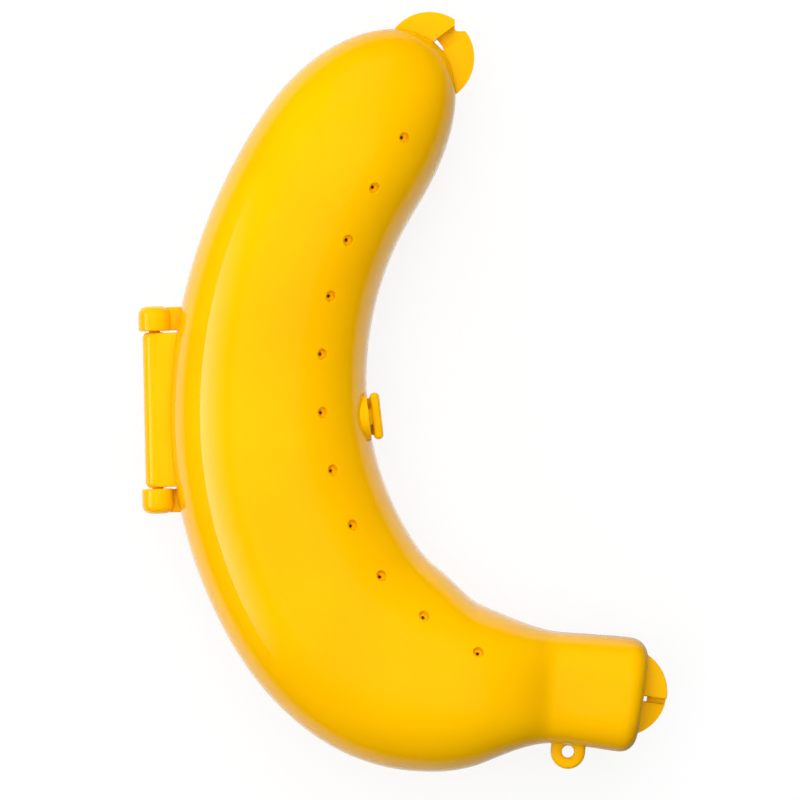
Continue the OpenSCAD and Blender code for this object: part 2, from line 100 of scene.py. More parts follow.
def linear(hex_colour: str) -> tuple[float, float, float, float]:
    """Turns an sRGB hex colour into linear values.

    Args:
        hex_colour: Colour such as "#FFC000".

    Returns:
        Linear red, green and blue, and an alpha of 1.
    """
    shares = [int(hex_colour[i:i + 2], 16) / 255 for i in (1, 3, 5)]
    red, green, blue = (
        c / 12.92 if c <= 0.04045 else ((c + 0.055) / 1.055) ** 2.4 for c in shares)
    return red, green, blue, 1.0


def per_size(size_mm: float) -> float:
    """Texture scale, in repeats per metre, of a pattern whose features are size_mm apart."""
    return 1 / (size_mm * MM)


def blank_material(name: str) -> bpy.types.Material:
    """Makes a material with an empty node tree.

    Args:
        name: Name of the material.

    Returns:
        The new material.
    """
    material = bpy.data.materials.new(name)
    material.use_nodes = True
    material.node_tree.nodes.clear()
    return material


def add_node(tree: bpy.types.NodeTree, kind: str, settings: dict[Socket, object] | None = None,
             links: dict[Socket, Output] | None = None) -> bpy.types.Node:
    """Adds one node with its settings and links.

    Args:
        tree: Node tree that takes the node.
        kind: Blender's name of the node type.
        settings: Values by property name, or by an input socket's name or number.
        links: Source node and output name, by an input socket's name or number.

    Returns:
        The new node.
    """
    node = tree.nodes.new(kind)
    for name, value in (settings or {}).items():
        if str(name) in node.bl_rna.properties:
            setattr(node, name, value)
        else:
            node.inputs[name].default_value = value
    for name, (source, output) in (links or {}).items():
        tree.links.new(source.outputs[output], node.inputs[name])
    return node


def arc(middle: Point, radius: float, start: float, end: float, steps: int) -> list[Point]:
    """Points of an arc in equal steps from a start to an end angle, both in degrees."""
    angles = [math.radians(start + (end - start) * i / steps) for i in range(steps + 1)]
    return [(middle[0] + radius * math.cos(a), middle[1] + radius * math.sin(a)) for a in angles]


def eased(low: float, high: float, share: float) -> float:
    """Value between low and high at a share from 0 to 1, with a level start and end."""
    share = min(1.0, max(0.0, share))
    return low + (high - low) * share * share * (3 - 2 * share)


class Bench:
    """Modelling moves that the sub-assemblies share, each done as by hand."""

    @staticmethod
    def take(obj: bpy.types.Object) -> None:
        """Makes an object the only selected and active one.

        Args:
            obj: Object to take.
        """
        bpy.ops.object.select_all(action="DESELECT")
        obj.select_set(True)
        bpy.context.view_layer.objects.active = obj

    @staticmethod
    def start(name: str, primitive: Callable[..., set[str]], **sizes: object) -> bpy.types.Object:
        """Adds a primitive while nothing else is selected.

        Args:
            name: Name of the new object and of its mesh.
            primitive: Operator that adds it.
            **sizes: Settings of the operator.

        Returns:
            The new object, which is the only one selected.
        """
        bpy.ops.object.select_all(action="DESELECT")
        primitive(**sizes)
        obj = bpy.context.object
        obj.name = obj.data.name = name
        Bench.take(obj)
        return obj

    @staticmethod
    def pick(obj: bpy.types.Object, kind: Pick, test: Callable[..., bool]) -> None:
        """Opens a mesh in edit mode and selects what passes a test.

        Args:
            obj: Object to edit.
            kind: Kind of element to select.
            test: Takes an element and says whether it is selected.
        """
        if obj.mode != "EDIT":
            Bench.take(obj)
            bpy.ops.object.mode_set(mode="EDIT")
        bpy.ops.mesh.select_mode(type=kind.name)
        bpy.ops.mesh.select_all(action="DESELECT")
        mesh = bmesh.from_edit_mesh(obj.data)
        for element in getattr(mesh, kind.value):
            element.select_set(bool(test(element)))
        mesh.select_flush_mode()
        bmesh.update_edit_mesh(obj.data)

    @staticmethod
    def close(obj: bpy.types.Object) -> bpy.types.Object:
        """Welds a mesh's seams and poles, turns its faces outwards and leaves edit mode.

        Args:
            obj: Solid to close.

        Returns:
            The same object.
        """
        Bench.pick(obj, Pick.VERT, lambda vert: True)
        bpy.ops.mesh.remove_doubles(threshold=WELD)
        bpy.ops.mesh.select_all(action="SELECT")
        bpy.ops.mesh.normals_make_consistent(inside=False)
        bpy.ops.object.mode_set(mode="OBJECT")
        return obj

    @staticmethod
    def modify(obj: bpy.types.Object, kind: str, **settings: object) -> bpy.types.Object:
        """Adds a modifier and applies it.

        Args:
            obj: Object to change.
            kind: Blender's name of the modifier type.
            **settings: Values by property name.

        Returns:
            The same object.
        """
        Bench.take(obj)
        modifier = obj.modifiers.new(kind.title(), kind)
        for name, value in settings.items():
            setattr(modifier, name, value)
        bpy.ops.object.modifier_apply(modifier=modifier.name)
        return obj

    @staticmethod
    def rounded(obj: bpy.types.Object, width: float, segments: int = 3) -> bpy.types.Object:
        """Rounds every sharp edge of a solid."""
        return Bench.modify(obj, "BEVEL", width=width, segments=segments, limit_method="ANGLE",
                            angle_limit=SHARP, miter_outer="MITER_ARC")

    @staticmethod
    def combine(obj: bpy.types.Object, how: Join, *tools: bpy.types.Object) -> bpy.types.Object:
        """Fuses solids to one, or cuts them out of it, and removes them.

        Args:
            obj: Solid that is kept.
            how: Way to combine.
            *tools: Solids that are used up.

        Returns:
            The kept solid.
        """
        for tool in tools:
            Bench.modify(obj, "BOOLEAN", operation=how.value, solver="EXACT", object=tool)
            bpy.data.objects.remove(tool)
        return obj

    @staticmethod
    def place(obj: bpy.types.Object, at: Sequence[float],
              turn: Sequence[float] = (0, 0, 0)) -> bpy.types.Object:
        """Moves and turns a solid, in its mesh.

        Args:
            obj: Solid at the origin.
            at: Place that its origin goes to.
            turn: Euler angles, in degrees.

        Returns:
            The same object, back at the origin.
        """
        Bench.take(obj)
        obj.location = at
        obj.rotation_euler = [math.radians(angle) for angle in turn]
        bpy.ops.object.transform_apply(location=True, rotation=True, scale=True)
        return obj

    @staticmethod
    def copy(obj: bpy.types.Object) -> bpy.types.Object:
        """Copies an object with a mesh of its own.

        Args:
            obj: Object to copy.

        Returns:
            The copy.
        """
        twin = obj.copy()
        twin.data = obj.data.copy()
        bpy.context.scene.collection.objects.link(twin)
        return twin

    @staticmethod
    def prism(name: str, outline: Sequence[Point], low: float, high: float) -> bpy.types.Object:
        """Extrudes an outline upwards.

        Args:
            name: Name of the solid.
            outline: Points of the outline, in order.
            low: Height of the lower face.
            high: Height of the upper face.

        Returns:
            The closed solid.
        """
        obj = Bench.start(name, bpy.ops.mesh.primitive_circle_add,
                          vertices=len(outline), fill_type="NGON")
        for vert, (x, y) in zip(obj.data.vertices, outline):
            vert.co = (x, y, low)
        Bench.pick(obj, Pick.FACE, lambda face: True)
        bpy.ops.mesh.extrude_region_move(TRANSFORM_OT_translate={"value": (0, 0, high - low)})
        return Bench.close(obj)

    @staticmethod
    def box(name: str, low: Sequence[float], high: Sequence[float]) -> bpy.types.Object:
        """Block between two corners."""
        outline = [(low[0], low[1]), (high[0], low[1]), (high[0], high[1]), (low[0], high[1])]
        return Bench.prism(name, outline, low[2], high[2])

    @staticmethod
    def turning(name: str, profile: Sequence[Point], facets: int = 64) -> bpy.types.Object:
        """Spins a profile round Z, as on a lathe.

        Args:
            name: Name of the solid.
            profile: Points of radius and height that start and end on the axis.
            facets: Facets round the axis.

        Returns:
            The closed solid.
        """
        obj = Bench.start(name, bpy.ops.mesh.primitive_circle_add,
                          vertices=len(profile), fill_type="NOTHING")
        for vert, (radius, height) in zip(obj.data.vertices, profile):
            vert.co = (radius, 0, height)
        Bench.pick(obj, Pick.EDGE, lambda edge: any(vert.co.x > WELD for vert in edge.verts))
        bpy.ops.mesh.spin(steps=facets, angle=math.tau, center=(0, 0, 0), axis=(0, 0, 1))
        Bench.pick(obj, Pick.EDGE, lambda edge: edge.is_wire)
        bpy.ops.mesh.delete(type="EDGE")
        return Bench.close(obj)

    @staticmethod
    def loft(name: str, rings: Sequence[Ring]) -> bpy.types.Object:
        """Pulls a flat grid over a row of closed rings.

        Args:
            name: Name of the solid.
            rings: Rings with equal numbers of points, the first and last of them folded flat.

        Returns:
            The closed solid.
        """
        rows, points = len(rings) - 1, len(rings[0])
        obj = Bench.start(name, bpy.ops.mesh.primitive_grid_add,
                          x_subdivisions=rows, y_subdivisions=points, size=1)
        # The grid runs from -0.5 to 0.5 both ways
        for vert in obj.data.vertices:
            row = round((vert.co.x + 0.5) * rows)
            vert.co = rings[row][round((vert.co.y + 0.5) * points) % points]
        return Bench.close(obj)

    @staticmethod
    def set_down(obj: bpy.types.Object) -> None:
        """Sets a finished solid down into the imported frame, in metres.

        Args:
            obj: Solid in the drawing frame.
        """
        obj.scale = (MM, MM, MM)
        Bench.place(obj, SET_DOWN * MM)
        bpy.ops.object.shade_smooth_by_angle(angle=SHARP)


@dataclass(frozen=True)
class BananaForm:
    """The body's form: a bent centre line, and a section that swells, tapers and rounds off.

    Distances s run along the centre line from the tip to the end of the stem. A form can be drawn
    in all round by an inset, which gives the inside of a wall.
    """

    tip_run: float = 119.5
    tip_bend: float = 125.0
    belly_run: float = 61.0
    belly_bend: float = 108.0
    neck_run: float = 50.0
    neck_bend: float = 51.0
    stem_run: float = 48.0
    stem_bend: float = 340.0
    tip_w: float = 26.0
    tip_round: float = 43.0
    belly_w: float = 30.4
    neck_w: float = 16.0
    stem_w: float = 16.6
    swell_at: float = 26.0
    belly_at: float = 192.0
    neck_at: float = 254.0
    taper_skew: float = 1.5
    body_h: float = 24.0
    stem_h: float = 14.5
    dome_at: float = 223.0
    dome_len: float = 35.0
    crease: float = 2.0
    crease_at: float = 240.0
    body_power: float = 2.3
    stem_power: float = 3.0
    end_round: float = 5.0
    cap_share: float = 0.6
    crown_share: float = 0.999
    tip_steps: int = 10
    body_steps: tuple[int, ...] = (24, 5, 7, 4)
    end_steps: int = 5
    core_inset: float = 0.7
    core_past: float = 4.0
    core_steps: int = 32

    @property
    def length(self) -> float:
        """Length of the centre line."""
        return self.tip_run + self.belly_run + self.neck_run + self.stem_run

    def spine(self, s: float) -> tuple[float, float, float]:
        """Follows the centre line from the tip.

        Args:
            s: Distance along the centre line.

        Returns:
            The x, the y and the heading in radians.
        """
        run = s - self.tip_run
        below = run - self.belly_run
        arcs = (
            (self.tip_bend, min(run, 0.0)),
            (self.belly_bend, min(max(run, 0.0), self.belly_run)),
            (self.neck_bend, min(max(below, 0.0), self.neck_run)),
            (-self.stem_bend, max(below - self.neck_run, 0.0)),
        )
        x, y, heading = 0.0, 0.0, -QUARTER
        for radius, length in arcs:
            turned = heading + length / radius
            x += radius * (math.sin(turned) - math.sin(heading))
            y -= radius * (math.cos(turned) - math.cos(heading))
            heading = turned
        return x, y, heading

    def heading(self, s: float) -> float:
        """Heading of the centre line, in degrees."""
        return math.degrees(self.spine(s)[2])

    def place(self, s: float, v: float, z: float) -> Vector:
        """Point at s along the centre line, v across it towards the outer edge, and height z."""
        x, y, heading = self.spine(s)
        return Vector((x + math.sin(heading) * v, y - math.cos(heading) * v, z))

    def tip_share(self, s: float, inset: float) -> float:
        """Share of the section that the rounded tip leaves."""
        past = (self.tip_round - s) / (self.tip_round - inset)
        return math.sqrt(max(0.0, 1 - max(0.0, past) ** 2))

    def end_draw(self, s: float, inset: float) -> float:
        """Finds how far the rounded end of the stem draws the section in.

        Args:
            s: Distance along the centre line.
            inset: Distance inside the outer surface.

        Returns:
            The distance, 0 before the rounded end.
        """
        radius = self.end_round - inset
        past = max(0.0, s - (self.length - self.end_round))
        return radius - math.sqrt(max(0.0, radius * radius - past * past)) if past else 0.0

    def half_width(self, s: float, inset: float = 0.0) -> float:
        """Finds half the width of the form, which swells to the belly and tapers to the neck.

        Args:
            s: Distance along the centre line.
            inset: Distance inside the outer surface.

        Returns:
            Half the width.
        """
        if s < self.belly_at:
            share = (s - self.swell_at) / (self.belly_at - self.swell_at)
            full = eased(self.tip_w, self.belly_w, share)
        elif s < self.neck_at:
            share = (s - self.belly_at) / (self.neck_at - self.belly_at)
            full = eased(self.belly_w, self.neck_w, share ** self.taper_skew)
        else:
            share = (s - self.neck_at) / (self.length - self.neck_at)
            full = eased(self.neck_w, self.stem_w, share)
        return (full - inset) * self.tip_share(s, inset) - self.end_draw(s, inset)

    def half_height(self, s: float, inset: float = 0.0) -> float:
        """Finds half the height of the form, a dome that meets the stem in a crease.

        Args:
            s: Distance along the centre line.
            inset: Distance inside the outer surface.

        Returns:
            Half the height.
        """
        fallen = max(0.0, s - self.dome_at) / self.dome_len
        dome = self.body_h * math.sqrt(max(0.0, 1 - fallen * fallen))
        # What a smooth maximum of the dome and the stem has over the plain one
        blend = max(self.crease - abs(dome - self.stem_h), 0.0) ** 2 / (4 * self.crease)
        full = max(dome, self.stem_h) + blend
        return (full - inset) * self.tip_share(s, inset) - self.end_draw(s, inset)

    def power(self, s: float) -> float:
        """Squareness of the section."""
        share = (s - self.dome_at) / (self.neck_at - self.dome_at)
        return eased(self.body_power, self.stem_power, share)

    def width_at(self, s: float, inset: float, z: float) -> float:
        """Finds half the width of the section at a height.

        Args:
            s: Distance along the centre line.
            inset: Distance inside the outer surface.
            z: Height above the parting plane, held just below the crown.

        Returns:
            Half the width.
        """
        n = self.power(s)
        height = self.half_height(s, inset)
        share = min(z / height, self.crown_share) if height > 0 else 0.0
        return self.half_width(s, inset) * (1 - share ** n) ** (1 / n)

    def crown_z(self, s: float, v: float) -> float:
        """Height of the surface at v across the body."""
        n = self.power(s)
        return self.half_height(s) * (1 - (abs(v) / self.half_width(s)) ** n) ** (1 / n)

    def stations(self, inset: float) -> list[Point]:
        """Stations from tip to stem of a form drawn in by inset.

        Args:
            inset: Distance inside the outer surface.

        Returns:
            Distance along the centre line and share of the section for each station. The first and
            last have no section left, and the one before the last keeps the end of the stem flat.
        """
        corner, last = self.length - self.end_round, self.length - inset
        marks = (self.tip_round, self.dome_at, self.crease_at, self.neck_at, corner)
        tip = [
            self.tip_round - (self.tip_round - inset) * math.cos(QUARTER * i / self.tip_steps)
            for i in range(1, self.tip_steps + 1)
        ]
        body = [
            low + (high - low) * i / steps
            for low, high, steps in zip(marks, marks[1:], self.body_steps)
            for i in range(1, steps + 1)
        ]
        end = [
            corner + (self.end_round - inset) * math.sin(QUARTER * i / self.end_steps)
            for i in range(1, self.end_steps + 1)
        ]
        whole = [(s, 1.0) for s in tip + body + end]
        return [(inset, 0.0), *whole, (last, self.cap_share), (last, 0.0)]

    def arch(self, station: Point, inset: float, low: float, count: int) -> Ring:
        """Points of one section, from the inner edge over the crown to the outer edge.

        Args:
            station: Distance along the centre line and share of the section.
            inset: Distance inside the outer surface.
            low: Height of both ends of the arch.
            count: Number of equal steps of polar angle.

        Returns:
            The points. Where the share is 0 they all lie on the centre line at height low.
        """
        s, share = station
        width, height = self.half_width(s, inset), self.half_height(s, inset)
        n = self.power(s)
        if share == 0 or height <= low:
            return [self.place(s, 0, low)] * (count + 1)
        first = math.atan2(low, self.width_at(s, inset, low))
        points = []
        for i in range(count + 1):
            angle = math.pi - first - (math.pi - 2 * first) * i / count
            across, up = math.cos(angle), max(math.sin(angle), 0.0)
            radius = ((abs(across) / width) ** n + (up / height) ** n) ** (-1 / n)
            z = low + (radius * up - low) * share
            points.append(self.place(s, radius * across * share, z))
        return points

    def core(self, half: Half) -> bpy.types.Object:
        """Models the space inside a wall, which cuts off what a feature has inside the body.

        Args:
            half: Half shell that carries the feature.

        Returns:
            The closed solid, which runs on a little past the parting plane.
        """
        rings = []
        for station in self.stations(self.core_inset):
            points = self.arch(station, self.core_inset, 0.0, self.core_steps)
            ends = [Vector((end.x, end.y, -self.core_past)) for end in (points[-1], points[0])]
            rings.append([Vector((p.x, p.y, p.z * half.value)) for p in points + ends])
        return Bench.loft("body_core", rings)


@dataclass(frozen=True)
class MouldedPolypropylene:
    """Injection-moulded polypropylene from a polished mould.

    It gives the eye an even, saturated colour with broad, faint changes of depth, a clear gloss,
    and a slight ripple where the melt shrank off the polished steel.
    """

    name: str
    colour: str
    deep_colour: str
    roughness: float = 0.07
    roughness_spread: float = 0.02
    mottle_mm: float = 40.0
    ripple_mm: float = 9.0
    # Real polishing marks are finer, and are drawn this coarse so that they show
    grain_mm: float = 0.9
    ripple_height_mm: float = 0.012
    refraction: float = 1.49

    def material(self) -> bpy.types.Material:
        """Builds the node material.

        Returns:
            A material that reads Object coordinates only.
        """
        material = blank_material(self.name)
        tree = material.node_tree
        place = add_node(tree, "ShaderNodeTexCoord")
        mottle, ripple, grain = (
            add_node(tree, "ShaderNodeTexNoise", {"Scale": per_size(size), "Detail": detail},
                     {"Vector": (place, "Object")})
            for size, detail in (
                (self.mottle_mm, 2.0), (self.ripple_mm, 1.0), (self.grain_mm, 3.0)))
        tint = add_node(tree, "ShaderNodeValToRGB", None, {"Fac": (mottle, "Fac")})
        stops = ((NOISE_LOW, self.deep_colour), (NOISE_HIGH, self.colour))
        for stop, (position, colour) in zip(tint.color_ramp.elements, stops):
            stop.position = position
            stop.color = linear(colour)
        polish = add_node(tree, "ShaderNodeMapRange", {
            "From Min": NOISE_LOW, "From Max": NOISE_HIGH,
            "To Min": self.roughness - self.roughness_spread,
            "To Max": self.roughness + self.roughness_spread,
        }, {"Value": (grain, "Fac")})
        relief = add_node(tree, "ShaderNodeBump", {
            "Strength": 1.0, "Distance": self.ripple_height_mm * MM,
        }, {"Height": (ripple, "Fac")})
        shader = add_node(tree, "ShaderNodeBsdfPrincipled", {
            "IOR": self.refraction, "Metallic": 0.0,
        }, {
            "Base Color": (tint, "Color"), "Roughness": (polish, "Result"),
            "Normal": (relief, "Normal"),
        })
        add_node(tree, "ShaderNodeOutputMaterial", None, {"Surface": (shader, "BSDF")})
        return material


@dataclass(frozen=True)
class Piece:
    """A finished solid, the CAD node it stands for and the body it rides on."""

    obj: bpy.types.Object
    node: str
    body: str

    def dress(self, material: bpy.types.Material) -> None:
        """Sets the piece down, gives it its finish and hangs it on its body.

        Args:
            material: Finish of the piece.
        """
        self.obj.name = self.obj.data.name = f"{self.node}_moulding"
        Bench.set_down(self.obj)
        self.obj.data.materials.clear()
        self.obj.data.materials.append(material)
        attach(self.obj, self.body)
        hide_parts(self.node)
        check = bmesh.new()
        check.from_mesh(self.obj.data)
        torn = sum(not edge.is_manifold for edge in check.edges)
        LOG.info("%s: %d faces, %d open edges", self.obj.name, len(check.faces), torn)
        check.free()


class SubAssembly:
    """What every sub-assembly shares.

    In their sizes, foot is the gap that a feature keeps from the parting plane, and bite is how far
    it runs into the body before it is trimmed to the wall.
    """

    def build(self) -> list[Piece]:
        """Models the pieces, in the drawing frame."""
        raise NotImplementedError

    def dress(self, material: bpy.types.Material) -> None:
        """Builds the pieces and dresses each of them."""
        for piece in self.build():
            piece.dress(material)


@dataclass(frozen=True)
class VentRow:
    """Row of stepped vent holes that follows the inner edge of the front shell."""

    form: BananaForm
    count: int = 11
    diameter: float = 3.0
    pitch: float = 16.6
    edge: float = 12.5
    first: float = 27.7
    edge_round: float = 0.35
    flare_end: float = 100.0
    flare_steps: int = 5
    throat_d: float = 1.0
    seat: float = 1.8
    draft: float = 0.1
    depth: float = 6.0
    clear: float = 3.0
    facets: int = 40
    probe: float = 0.2

    def bend_at(self, s: float) -> float:
        """Finds the bend radius of the centre line.

        Args:
            s: Distance along the centre line.

        Returns:
            The radius, negative where the line bends the other way.
        """
        form = self.form
        ends = (
            (form.tip_run, form.tip_bend),
            (form.tip_run + form.belly_run, form.belly_bend),
            (form.tip_run + form.belly_run + form.neck_run, form.neck_bend),
        )
        return next((bend for end, bend in ends if s < end), -form.stem_bend)

    def places(self) -> list[float]:
        """Steps along the inner edge by the pitch.

        Returns:
            Distances of the holes along the centre line.
        """
        places = [self.first]
        while len(places) < self.count:
            between = places[-1] + self.pitch / 2
            side = self.form.half_width(between) - self.edge
            places.append(places[-1] + self.pitch / (1 - side / self.bend_at(between)))
        return places

    def surface(self, s: float, v: float) -> Vector:
        """Point on the front shell's outside, v across the body towards the inner edge."""
        return self.form.place(s, -v, self.form.crown_z(s, v))

    def square_to(self, s: float, v: float) -> list[float]:
        """Stands a drill square to the surface.

        Args:
            s: Distance along the centre line.
            v: Distance across the body towards the inner edge.

        Returns:
            Euler angles of the drill, in degrees.
        """
        along = self.surface(s + self.probe, v) - self.surface(s - self.probe, v)
        across = self.surface(s, v + self.probe) - self.surface(s, v - self.probe)
        turn = along.cross(across).to_track_quat("Z", "Y").to_euler()
        return [math.degrees(angle) for angle in turn]

    def drills(self) -> bpy.types.Object:
        """Models one stepped drill that rounds a hole's edge, and copies it along the row.

        Returns:
            All drills as one object.
        """
        radius, throat, lip = self.diameter / 2, self.throat_d / 2, self.edge_round
        flare = arc((radius + lip, -lip), lip, 180, self.flare_end, self.flare_steps)
        drill = Bench.turning("vent_drill", [
            (0, -self.depth), (throat, -self.depth),
            (throat, -self.seat), (radius - self.draft, -self.seat),
            *flare, (flare[-1][0], self.clear), (0, self.clear),
        ], self.facets)
        drills = []
        for s in self.places():
            v = self.form.half_width(s) - self.edge
            drills.append(
                Bench.place(Bench.copy(drill), self.surface(s, v), self.square_to(s, v)))
        bpy.data.objects.remove(drill)
        Bench.take(drills[0])
        for drill in drills:
            drill.select_set(True)
        bpy.ops.object.join()
        return drills[0]


@dataclass(frozen=True)
class HalfShell(SubAssembly):
    """One half of the body, with the rim that meets the other half."""

    half: Half
    form: BananaForm
    vents: VentRow | None = None
    wall: float = 2.2
    lip_t: float = 0.9
    lip_h: float = 1.5
    lip_clear: float = 0.3
    parting_gap: float = 0.1
    edge_hold: float = 0.25
    edge_lead: float = 0.75
    outer_steps: int = 26
    inner_steps: int = 20
    smoothing: int = 2

    def rim(self) -> list[Point]:
        """Draws the rim: a rebate in the front half, and the lip that enters it in the rear half.

        Returns:
            Corners from outside to inside, as inset and height.
        """
        if self.half is Half.FRONT:
            land, top = self.wall - self.lip_t - self.lip_clear, self.lip_h + self.lip_clear
            return [(0, self.parting_gap), (land, self.parting_gap), (land, top), (self.wall, top)]
        lip = self.wall - self.lip_t
        return [(0, 0), (lip, 0), (lip, -self.lip_h), (self.wall, -self.lip_h)]

    def held_rim(self) -> list[Point]:
        """Adds a point close to each side of the rim's corners, which keeps them tight.

        Returns:
            Points from outside to inside, as inset and height.
        """
        corners = self.rim()
        start = (0, corners[0][1] + self.edge_lead)
        end = (self.wall, max(corners[-1][1] + self.edge_lead, self.edge_lead))
        path = [start, *corners, end]
        held = []
        for before, corner, after in zip(path, path[1:], path[2:]):
            steps = [Vector(beside) - Vector(corner) for beside in (before, after)]
            close = [Vector(corner) + step.normalized() * self.edge_hold for step in steps]
            held += [tuple(close[0]), corner, tuple(close[1])]
        return [start, *held, end]

    def ring(self, row: int) -> Ring:
        """Draws one ring round the wall: over the outside, along a rim, under the inside and back.

        Args:
            row: Number of the station.

        Returns:
            Points of the ring, in the drawing frame.
        """
        rim = self.held_rim()
        insets = {inset for inset, _ in rim}
        stations = {inset: self.form.stations(inset)[row] for inset in insets}

        def rim_side(side: int) -> Ring:
            """Sets the rim out on one side of the body.

            Args:
                side: 1 for the outer side, -1 for the inner.

            Returns:
                Points of the rim, from outside to inside.
            """
            points = []
            for inset, z in rim:
                s, share = stations[inset]
                width = self.form.half_width(s, inset)
                if inset in (0, self.wall) and z > 0:
                    width = self.form.width_at(s, inset, z)
                points.append(self.form.place(s, side * width * share, z))
            return points

        outer = self.form.arch(stations[0], 0.0, rim[0][1], self.outer_steps)
        inner = self.form.arch(stations[self.wall], self.wall, rim[-1][1], self.inner_steps)
        points = outer[1:-1] + rim_side(1) + inner[-2:0:-1] + rim_side(-1)[::-1]
        return [Vector((p.x, p.y, p.z * self.half.value)) for p in points]

    def build(self) -> list[Piece]:
        """Lofts the wall, smooths it and drills the vent holes.

        Returns:
            The shell.
        """
        rows = len(self.form.stations(0.0))
        shell = Bench.loft("shell", [self.ring(row) for row in range(rows)])
        Bench.modify(shell, "SUBSURF", levels=self.smoothing, render_levels=self.smoothing)
        if self.vents:
            Bench.combine(shell, Join.CUT, self.vents.drills())
        return [Piece(shell, f"{self.half.name.lower()}_shell", self.half.body)]


@dataclass(frozen=True)
class SnapHinge(SubAssembly):
    """Long barrel on the front shell, snapped between two knuckles with pins on the rear shell."""

    form: BananaForm
    reach: float = 4.0
    barrel_d: float = 7.0
    barrel_len: float = 45.0
    barrel_round: float = 1.5
    barrel_steps: int = 8
    knuckle_d: float = 9.2
    knuckle_len: float = 7.2
    knuckle_edge: float = 0.6
    knuckle_edge_steps: int = 5
    knuckle_round: float = 2.5
    knuckle_round_steps: int = 10
    end_gap: float = 0.3
    pin_d: float = 3.2
    pin_len: float = 4.0
    pin_clear: float = 0.08
    pin_chamfer: float = 0.4
    facets: int = 64
    # With as many facets as the barrel's, the cut for the sockets left open edges
    socket_facets: int = 50
    leaf_len: float = 44.6
    leaf_top: float = 3.46
    leaf_round: float = 0.5
    arm_t: float = 6.8
    arm_h: float = 3.0
    arm_root: float = 7.0
    arm_round: float = 0.35
    foot: float = 0.4
    bite: float = 5.0
    probe: float = 0.25
    probes: int = 200

    @property
    def axis_x(self) -> float:
        """Place of the hinge axis beside the body."""
        return -self.form.half_width(self.form.tip_run) - self.reach

    def on_axis(self, name: str, profile: Sequence[Point], facets: int) -> bpy.types.Object:
        """Turns a profile and lays it along the hinge axis."""
        turned = Bench.turning(name, profile, facets)
        return Bench.place(turned, (self.axis_x, 0, 0), (-90, 0, 0))

    def barrel(self) -> bpy.types.Object:
        """Models the barrel with a socket in each end, and the leaf that runs level from its top.

        Returns:
            The solid, trimmed to the front shell's wall.
        """
        half, radius = self.barrel_len / 2, self.barrel_d / 2
        curve, steps = self.barrel_round, self.barrel_steps
        barrel = self.on_axis("barrel", [
            (0, -half),
            *arc((radius - curve, -half + curve), curve, -90, 0, steps),
            *arc((radius - curve, half - curve), curve, 0, 90, steps),
            (0, half),
        ], self.facets)
        side, far = self.leaf_len / 2, self.barrel_len
        leaf = Bench.box("leaf", (self.axis_x, -side, self.foot),
                         (self.axis_x + self.reach + self.bite, side, self.leaf_top))
        socket = self.pin_d / 2 + self.pin_clear
        deep = half - self.pin_len - self.end_gap
        bore = [(0, deep), (socket, deep), (socket, far), (0, far)]
        sockets = [
            self.on_axis("socket", [(r, way * y) for r, y in bore], self.socket_facets)
            for way in (-1, 1)
        ]
        Bench.combine(barrel, Join.FUSE, Bench.rounded(leaf, self.leaf_round))
        return Bench.combine(barrel, Join.CUT, *sockets, self.form.core(Half.FRONT))

    def side_gap(self, y: float) -> float:
        """Measures from the hinge axis to the body's outer edge.

        Args:
            y: Place along the hinge line.

        Returns:
            The distance at the edge's nearest probed point.
        """
        steps = range(-self.probes, self.probes + 1)
        places = [self.form.tip_run + step * self.probe for step in steps]
        edge = [self.form.place(s, self.form.half_width(s), 0) for s in places]
        return min(edge, key=lambda point: abs(point.y - y)).x - self.axis_x

    def arm_outline(self, gap: float) -> list[Point]:
        """Side view of an arm, a bracket that is deepest where it meets the rear shell."""
        far, top, low = gap + self.bite, -self.foot, -self.foot - self.arm_root
        return [(0, top), (0, top - self.arm_h), (gap, low), (far, low), (far, top)]

    def knuckle(self, way: int) -> bpy.types.Object:
        """Models a knuckle with its stub pin and its arm.

        Args:
            way: 1 for the upper knuckle, -1 for the lower.

        Returns:
            The solid, trimmed to the rear shell's wall.
        """
        start = self.barrel_len / 2 + self.end_gap
        end = start + self.knuckle_len
        radius, pin = self.knuckle_d / 2, self.pin_d / 2
        tip = start - self.end_gap - self.pin_len
        edge, curve, chamfer = self.knuckle_edge, self.knuckle_round, self.pin_chamfer
        profile = [
            (0, tip), (pin - chamfer, tip), (pin, tip + chamfer), (pin, start),
            *arc((radius - edge, start + edge), edge, -90, 0, self.knuckle_edge_steps),
            *arc((radius - curve, end - curve), curve, 0, 90, self.knuckle_round_steps),
            (0, end),
        ]
        knuckle = self.on_axis("knuckle", [(r, way * y) for r, y in profile], self.facets)
        middle = way * (start + end) / 2
        arm = Bench.prism("arm", self.arm_outline(self.side_gap(middle)), 0, self.arm_t)
        Bench.rounded(arm, self.arm_round)
        Bench.place(arm, (self.axis_x, middle + self.arm_t / 2, 0), (90, 0, 0))
        Bench.combine(knuckle, Join.FUSE, arm)
        return Bench.combine(knuckle, Join.CUT, self.form.core(Half.REAR))

    def build(self) -> list[Piece]:
        """Models the barrel and both knuckles."""
        return [
            Piece(self.barrel(), "hinge_barrel", Half.FRONT.body),
            Piece(self.knuckle(1), "upper_hinge_knuckle", Half.REAR.body),
            Piece(self.knuckle(-1), "lower_hinge_knuckle", Half.REAR.body),
        ]


